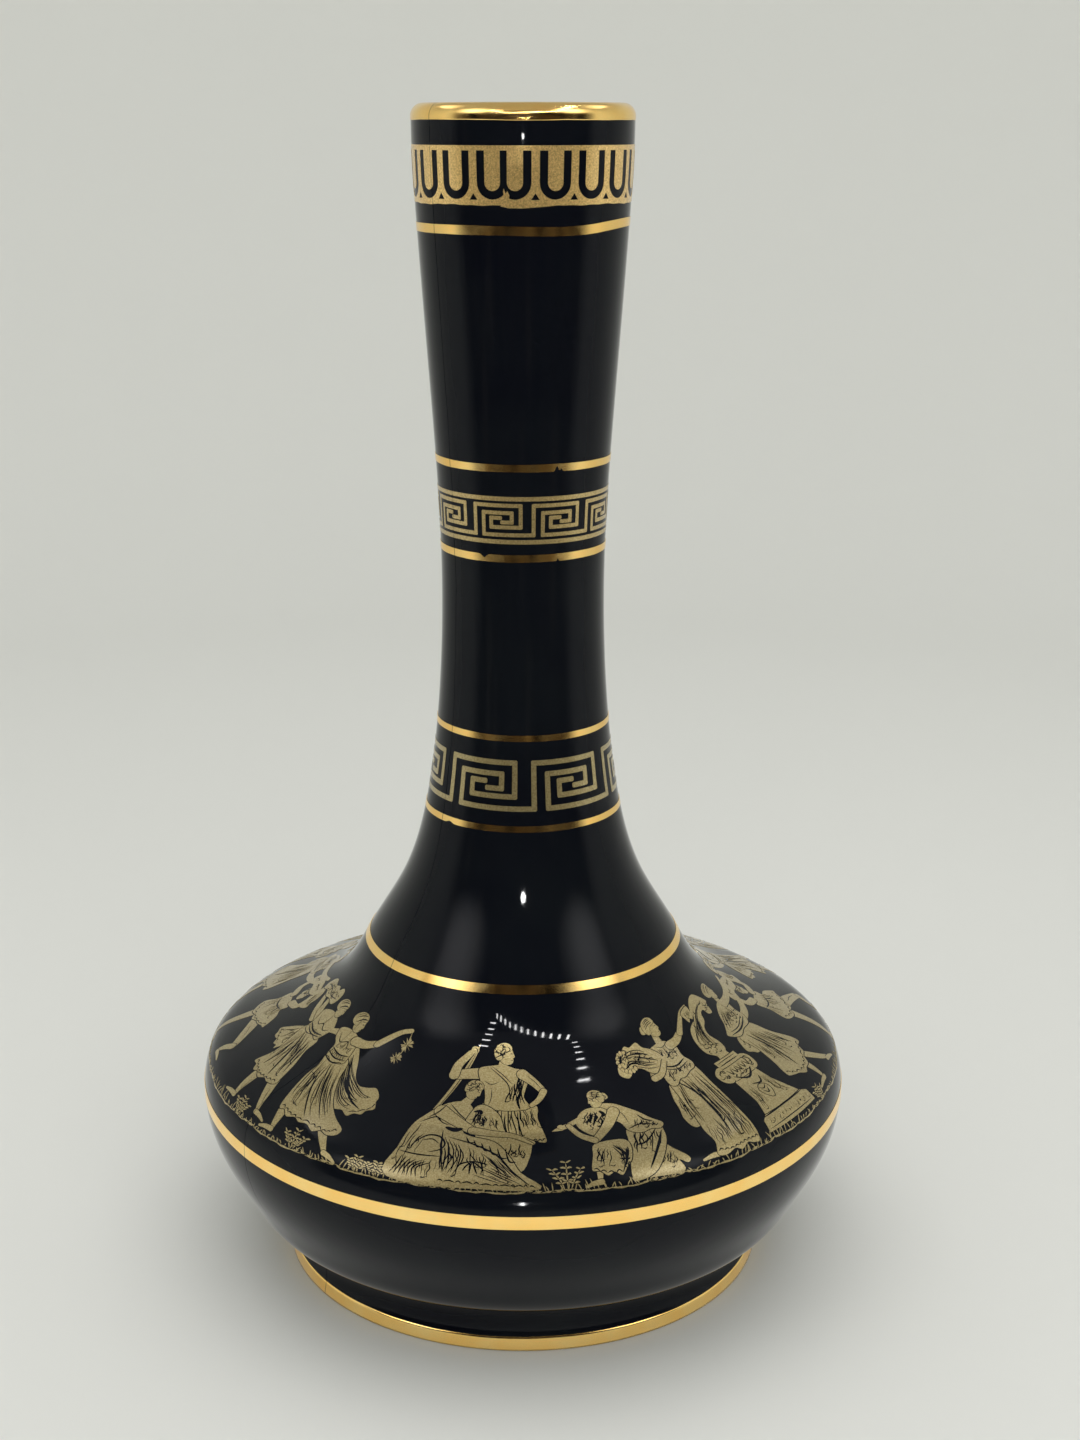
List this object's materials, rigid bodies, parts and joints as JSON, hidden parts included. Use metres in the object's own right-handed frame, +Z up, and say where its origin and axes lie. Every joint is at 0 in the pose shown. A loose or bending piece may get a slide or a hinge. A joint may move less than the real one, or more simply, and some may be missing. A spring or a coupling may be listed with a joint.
{
  "type": "bottle vase",
  "caption": "Long-necked bottle vase with a wide flattened belly and foot ring, black-glazed pottery with gold lines, key bands, a tongue band and a figure frieze.",
  "frame": {"origin": "centre of the foot on the resting plane", "axes": "+Z up along the pot's axis, -Y is the front, with the staff bearer just left of it, and +X is to the right seen from the front"},
  "size_m": [0.1202, 0.1202, 0.2091],
  "materials": {
    "biscuit": "matte",
    "black_glaze": "high gloss",
    "lining_glaze": "gloss",
    "burnished_gold": "bright, hand-burnished",
    "printed_gold": "satin"
  },
  "bodies": {
    "root": {"ceramic_body": "biscuit", "outer_glaze": "black_glaze", "inner_glaze": "lining_glaze", "foot_glaze": "black_glaze", "lip_gold": "burnished_gold", "tongue_line": "burnished_gold", "upper_key_line_top": "burnished_gold", "upper_key_line_bottom": "burnished_gold", "lower_key_line_top": "burnished_gold", "lower_key_line_bottom": "burnished_gold", "shoulder_line": "burnished_gold", "belly_line": "burnished_gold", "foot_gold": "burnished_gold", "tongue_frieze": "printed_gold", "upper_key_band": "printed_gold", "upper_key_rails": "printed_gold", "lower_key_band": "printed_gold", "youth_transfer": "printed_gold", "drum_dancer_transfer": "printed_gold", "garland_dancer_transfer": "printed_gold", "staff_bearer_transfer": "printed_gold", "piper_transfer": "printed_gold", "horn_bearer_transfer": "printed_gold", "altar_transfer": "printed_gold", "smoke_transfer": "printed_gold", "pouring_figure_transfer": "printed_gold", "plants_transfer": "printed_gold", "ground_transfer": "printed_gold"}
  },
  "joints": []
}
